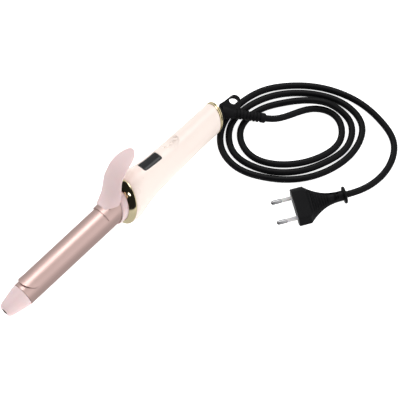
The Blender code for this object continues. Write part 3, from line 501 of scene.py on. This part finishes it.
def revolved(name, profile, steps=128, frame_at=IRON, lean=False, closed=False, sharp=35.0):
    """A turned piece from (distance along the axis, radius) pairs in mm."""
    made = bmesh.new()
    rings = []
    for x, r in profile:
        ring = []
        for k in range(steps):
            turn = 2 * math.pi * k / steps
            y, z = r * math.sin(turn), r * math.cos(turn)
            ring.append(made.verts.new(Vector((x + (LEAN * z if lean else 0.0), y, z)) * MM))
        rings.append(ring)
    skinned(made, rings, closed)
    bmesh.ops.recalc_face_normals(made, faces=made.faces[:])
    obj = from_bmesh(name, made, PIECES, sharp)
    obj.matrix_world = frame_at
    return obj


def rounded_box(name, size, corner, low, high, frame_at, at=(0.0, 0.0)):
    """A block with rounded upright corners, for cutting, in mm."""
    made = bmesh.new()
    loop = []
    for cx, cy, start in ((1, 1, 0), (-1, 1, 90), (-1, -1, 180), (1, -1, 270)):
        for k in range(7):
            turn = math.radians(start + 15 * k)
            loop.append((at[0] + cx * (size[0] / 2 - corner) + corner * math.cos(turn),
                         at[1] + cy * (size[1] / 2 - corner) + corner * math.sin(turn)))
    under = [made.verts.new(Vector((x, y, low)) * MM) for x, y in loop]
    over = [made.verts.new(Vector((x, y, high)) * MM) for x, y in loop]
    for k in range(len(loop)):
        j = (k + 1) % len(loop)
        made.faces.new((under[k], under[j], over[j], over[k]))
    made.faces.new(list(reversed(under)))
    made.faces.new(over)
    obj = from_bmesh(name, made, PIECES)
    obj.matrix_world = frame_at
    return obj


def bar(name, radius, start, end, frame_at, steps=64):
    """A round bar between two points, for cutting, in mm."""
    start, end = Vector(start) * MM, Vector(end) * MM
    obj = swept(name, [frame_at @ start, frame_at @ end], radius * MM, steps)
    return obj


def carve(obj, other, how="DIFFERENCE"):
    """Apply an exact boolean and remove the other piece."""
    step = obj.modifiers.new("carve", "BOOLEAN")
    step.object = other
    step.operation = how
    step.solver = "EXACT"
    applied(obj)
    bpy.data.objects.remove(other)
    return obj


def applied(obj, sharp=35.0):
    """Turn a piece's modifiers into mesh."""
    bpy.context.view_layer.update()
    seen = obj.evaluated_get(bpy.context.evaluated_depsgraph_get())
    mesh = bpy.data.meshes.new_from_object(seen)
    obj.modifiers.clear()
    obj.data = mesh
    mesh.shade_smooth()
    mesh.set_sharp_from_angle(angle=math.radians(sharp))
    return obj


def placed(obj, material, body, slot, *nodes):
    """Finish a piece: its material, the body it rides on and the nodes it stands for."""
    look(obj, LOOKS[material] if isinstance(material, str) else material)
    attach(obj, body)
    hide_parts(*nodes)
    return obj


HANDLE = (
    (64.3, 12.8), (56.0, 12.9), (44.0, 13.05), (33.0, 13.25), (22.0, 13.5), (12.0, 13.8),
    (3.0, 14.2), (-6.0, 14.75), (-14.0, 15.5), (-20.0, 16.4), (-25.5, 17.6), (-30.0, 18.7),
    (-33.5, 19.3), (-37.5, 19.4), (-40.5, 19.1), (-42.4, 18.5),
)
SEAM_Z = -7.5
SEAM_GAP = 0.12              # half the gap between shell and cover
SCREWS_X = (-6.0, 34.0)
WINDOW_X, WINDOW_LONG, WINDOW_WIDE = -4.4, 19.8, 11.5
PANEL_X = 21.5
HOLLOW_LONG, HOLLOW_DEEP, HOLLOW_TOP = 17.0, 3.2, 13.55
HOLLOW_R = ((HOLLOW_LONG / 2) ** 2 + HOLLOW_DEEP ** 2) / (2 * HOLLOW_DEEP)
BUTTON_STEP = 5.6


def handle_body(name, inset=0.0):
    """The handle's outside as a smooth solid."""
    rows, _ = through([(x, r - inset, 0.0) for x, r in HANDLE], 64)
    profile = [(x, r) for x, r, _ in rows]
    front_x, front_r = profile[-1]
    profile = profile[:-1] + [(front_x + 0.25, front_r + 0.02), (front_x, front_r - 0.3)]
    return revolved(name, profile, 160, IRON, True)


def window_box(name, grow, corner, low):
    """A block over the display's window, grown or shrunk, for cutting."""
    return rounded_box(name, (WINDOW_LONG + grow, WINDOW_WIDE + grow), corner, low, 30, IRON,
                       (WINDOW_X, 0))


def make_handle():
    """Upper shell with window and thumb hollow, lower cover with its two screw holes."""
    hollow_z = HOLLOW_TOP - HOLLOW_DEEP + HOLLOW_R
    for name, keep_up in (("handle_shell", True), ("handle_cover", False)):
        obj = handle_body(name)
        if keep_up:
            low, high = SEAM_Z + SEAM_GAP, 60
            carve(obj, bar("cut_hollow", HOLLOW_R, (PANEL_X, -18, hollow_z),
                           (PANEL_X, 18, hollow_z), BUTTONS, 192))
            carve(obj, window_box("cut_window", 0.5, 1.7, 11.9))
            for step in (-1, 0, 1):
                x = PANEL_X + step * BUTTON_STEP
                carve(obj, bar("cut_button", 2.2, (x, 0, 6), (x, 0, 20), BUTTONS, 48))
        else:
            low, high = -60, SEAM_Z - SEAM_GAP
            for x in SCREWS_X:
                carve(obj, bar("cut_screw", 1.8, (x, 0, -25), (x, 0, -9), IRON, 32))
        carve(obj, rounded_box("keep", (260, 120), 5.0, low, high, IRON), "INTERSECT")
        step = obj.modifiers.new("edge", "BEVEL")
        step.width = 0.00022
        step.segments = 2
        step.limit_method = "ANGLE"
        step.angle_limit = math.radians(40)
        nodes = ("handle_upper", "button_panel") if keep_up else ("handle_lower",)
        placed(applied(obj), "cream_shell", "handle", "cream_shell", *nodes)


def make_buttons():
    """Three low domes in the thumb hollow."""
    floor = HOLLOW_TOP - HOLLOW_DEEP
    for name, step in (("up", -1), ("power", 0), ("down", 1)):
        rise = HOLLOW_R - math.sqrt(HOLLOW_R ** 2 - (step * BUTTON_STEP) ** 2)
        top = floor + rise + 0.35
        place = (BUTTONS @ Matrix.Translation(((PANEL_X + step * BUTTON_STEP) * MM, 0, 0))
                 @ Matrix.Rotation(-math.pi / 2, 4, "Y"))
        profile = [(top, 0.05), (top - 0.03, 0.8), (top - 0.12, 1.4), (top - 0.3, 1.85),
                   (top - 0.6, 2.08), (top - 3.2, 2.08)]
        obj = revolved("push_" + name, profile, 48, place)
        placed(obj, "cream_shell", "button_" + name, "cream_shell", "button_" + name)


def make_display():
    """Black frame and the glass set in it."""
    frame_piece = handle_body("display_frame", 0.3)
    carve(frame_piece, window_box("keep", 0.0, 1.5, 11.95), "INTERSECT")
    carve(frame_piece, window_box("cut", -1.3, 1.0, 12.3))
    glass_piece = handle_body("display_glass", 0.12)
    carve(glass_piece, window_box("keep", -1.6, 0.9, 12.35), "INTERSECT")
    placed(frame_piece, LOOKS["bezel"], "handle", "display_glass", "display_lens")
    placed(glass_piece, "display_glass", "handle", "display_glass")


def make_rings():
    """Rounded front ring and grooved rear ring."""
    rows, _ = through([(-43.35, 18.45, 0), (-44.1, 17.95, 0), (-45.4, 16.75, 0),
                       (-46.6, 15.2, 0), (-47.5, 13.7, 0), (-47.85, 13.05, 0)], 24)
    profile = [(-42.75, 18.2), (-42.8, 18.45), *[(x, r) for x, r, _ in rows]]
    profile += [(-47.8, 12.9), (-46.0, 12.9), (-42.75, 12.9)]
    placed(revolved("ring_front", profile, 160, IRON, True, True), "gold_plating", "handle",
           "gold_plating", "front_ring")
    profile = [(64.6, 12.5), (64.75, 12.8), (65.0, 12.92), (65.6, 12.92), (65.85, 12.8),
               (66.0, 12.45), (66.25, 12.35), (66.5, 12.45), (66.65, 12.75), (66.9, 12.85),
               (67.4, 12.75), (67.8, 12.45), (68.0, 12.0), (68.0, 8.2), (67.6, 8.0),
               (64.6, 8.0)]
    placed(revolved("ring_rear", profile, 160, IRON, True, True), "gold_plating", "handle",
           "gold_plating", "rear_ring")


CREST = (        # along the iron, height, half width, fall of the edges
    (-64.0, 16.8, 6.2, 1.7), (-61.0, 17.4, 8.2, 2.8), (-58.0, 18.4, 10.2, 4.2),
    (-55.2, 19.6, 11.9, 5.6), (-52.5, 21.2, 12.9, 6.6), (-50.1, 23.3, 13.2, 6.2),
    (-47.8, 25.9, 12.8, 5.0), (-45.2, 29.2, 12.2, 3.5), (-42.0, 33.1, 11.7, 2.8),
    (-37.8, 36.3, 11.1, 2.5), (-34.0, 38.6, 10.9, 2.2), (-29.5, 40.2, 10.5, 2.0),
    (-25.0, 41.0, 9.8, 1.6), (-20.8, 41.4, 8.6, 1.3), (-16.5, 41.7, 6.4, 0.8),
    (-13.6, 41.8, 3.8, 0.3), (-12.3, 41.8, 1.8, 0.1),
)


def make_lever():
    """Arched thumb lever with rounded edges."""
    rows, _ = through([(x, z, half, fall) for x, z, half, fall in CREST], 72)
    across = [math.sin(math.pi / 2 * (k / 14 - 1)) for k in range(29)]
    made = bmesh.new()
    grid = []
    for x, z, half, fall in rows:
        grid.append([made.verts.new(Vector((x, max(half, 0.8) * v,
                                            z - fall * (0.35 * v ** 2 + 0.65 * v ** 4))) * MM)
                     for v in across])
    for row, following in zip(grid, grid[1:]):
        for i in range(len(across) - 1):
            made.faces.new((row[i], following[i], following[i + 1], row[i + 1]))
    obj = from_bmesh("thumb_lever", made, PIECES, 80)
    obj.matrix_world = IRON
    thicken = obj.modifiers.new("thicken", "SOLIDIFY")
    thicken.thickness = 0.0019
    thicken.offset = -1.0
    thicken.use_even_offset = False
    step = obj.modifiers.new("edge", "BEVEL")
    step.width = 0.0007
    step.segments = 4
    step.limit_method = "ANGLE"
    step.angle_limit = math.radians(60)
    placed(applied(obj, 50), "pink_plastic", "clamp", "pink_plastic", "lever",
           "lever_rivet_left", "lever_rivet_right")
    obj.visible_glossy = False
    return obj


def smoothstep(low, high, value):
    """0 below low, 1 above high, smooth between."""
    t = min(max((value - low) / (high - low), 0.0), 1.0)
    return t * t * (3 - 2 * t)


def plug_surface(t, turn):
    """A point of the plug at a distance from its face and an angle round it."""
    long_part = PLUG_LONG - PLUG_TAIL - PLUG_HEAD
    share = min(max((t - PLUG_HEAD) / long_part, 0.0), 1.0)
    half = PLUG_HALF + (TAIL_R - PLUG_HALF) * (1 - (1 - share) ** 2.1)
    high = PLUG_HIGH + (TAIL_R - PLUG_HIGH) * share
    roundness = min(share * 1.25, 1.0)
    c, s = math.cos(turn), math.sin(turn)
    reach = 1e9
    for nx, ny, d in ((0, 1, high), (1, 0, half), (high, 4.0, half * high)):
        along = nx * abs(half * c) + ny * abs(high * s)
        if along > 1e-9:
            reach = min(reach, d / along)
    y = half * c * (roundness + (1 - roundness) * reach)
    z = high * s * (roundness + (1 - roundness) * reach)
    rim = 1 - smoothstep(0.66, 0.84, abs(y) / half)
    sunk = smoothstep(12.6, 13.6, t) * (1 - smoothstep(35.0, 38.0, t)) * rim
    rib = 0.5 + 0.5 * math.cos(2 * math.pi * t / 2.3)
    rib *= smoothstep(14.5, 16.0, t) * (1 - smoothstep(30.0, 33.0, t)) * rim
    pit = 0.0
    if abs(t - 38.6) < 0.75 and 0.7 < abs(y) < 2.7:
        pit = 1.0
    push = 1.5 * sunk - 0.7 * rib * sunk + 1.4 * pit
    z -= math.copysign(min(push, abs(z)), z) * smoothstep(0.0, 1.5, abs(z))
    return y, z


def make_plug():
    """Flat plug: chamfered block, sunk ribbed grip, two slots and the flange."""
    stations = [0.0, 0.25, 0.6, 2.0, 5.0, 8.0] + [9.5 + 0.25 * k for k in range(144)]
    made = bmesh.new()
    rings = []
    steps = 144
    for t in stations:
        shrink = {0.0: 0.98, 0.25: 0.992}.get(t, 1.0)
        ring = []
        for k in range(steps):
            y, z = plug_surface(t, 2 * math.pi * (k + 0.5) / steps)
            ring.append(made.verts.new(Vector((t, y * shrink, z * shrink)) * MM))
        rings.append(ring)
    skinned(made, rings)
    bmesh.ops.recalc_face_normals(made, faces=made.faces[:])
    body = from_bmesh("plug_shell", made, PIECES, 28)
    body.matrix_world = PLUG
    placed(body, "plug_black", "handle", "black_rubber", "plug_body")
    flange = revolved("plug_flange", [(-1.4, 0.3), (-1.4, 0.84), (-1.1, 0.95), (-0.5, 1.0),
                                      (0.5, 1.0), (1.1, 0.95), (1.4, 0.84), (1.4, 0.3)], 96,
                      PLUG @ Matrix.Translation((PLUG_LONG * MM, 0, 0)), False, False, 30)
    for vert in flange.data.vertices:
        vert.co.y *= 7.8
        vert.co.z *= 6.7
    placed(flange, "plug_black", "handle", "black_rubber")
    pins = []
    for name, side in (("left", 1), ("right", -1)):
        place = PLUG @ Matrix.Translation((0, side * PIN_SIDE * MM, 0))
        pin = revolved("pin_" + name, [(0.3, 1.2), (-9.7, 1.2), (-9.8, 1.95), (-9.95, 2.0),
                                       (-16.8, 2.0), (-17.6, 1.92), (-18.3, 1.6),
                                       (-18.8, 1.0), (-19.0, 0.35)], 40, place)
        placed(pin, "steel", "handle", "steel", "plug_pin_" + name)
        sleeve = revolved("sleeve_" + name, [(0.3, 1.9), (-9.3, 1.9), (-9.5, 1.75),
                                             (-9.5, 1.3)], 40, place)
        placed(sleeve, "pin_sleeve", "handle", "pin_sleeve", "pin_sleeve_" + name)
        pins += [pin, sleeve]
    return [body, flange, *pins]


BARREL_R = 11.0
TIP_START, TIP_END = 164.4, 186.0      # from the origin towards the tip


def make_tip():
    """Tapered cool tip with a small dark cap."""
    crown = ((0.0, 1.0), (0.08, 0.975), (0.3, 0.895), (0.52, 0.81), (0.72, 0.73),
             (0.86, 0.66), (0.95, 0.585), (0.985, 0.52), (1.0, 0.45))
    rows, _ = through([(t * (TIP_END - TIP_START), BARREL_R * r, 0.0) for t, r in crown], 40)
    profile = [(-164.3, 10.4), (-164.45, 10.85)]
    profile += [(-TIP_START - x, r) for x, r, _ in rows[1:]]
    profile += [(-TIP_END, 2.9), (-185.8, 2.7), (-183.3, 2.7)]
    placed(revolved("tip_shell", profile, 128), "pink_plastic", "handle", "pink_plastic",
           "cool_tip")
    cap = revolved("tip_plug", [(-183.2, 2.6), (-186.1, 2.6), (-186.35, 2.4), (-186.4, 1.4),
                                (-186.2, 0.9), (-186.1, 0.2)], 48)
    placed(cap, "dark_cap", "handle", "dark_cap", "tip_cap")


bpy.context.scene.view_settings.view_transform = "Standard"
make_camera()
make_studio()
cord, cord_line, cord_length = make_cord()

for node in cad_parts.values():
    look(node, LOOKS[node.data.materials[0].name])
make_handle()
make_buttons()
make_display()
make_rings()
make_lever()
make_tip()
plug_pieces = make_plug()

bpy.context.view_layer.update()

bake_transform(cord)
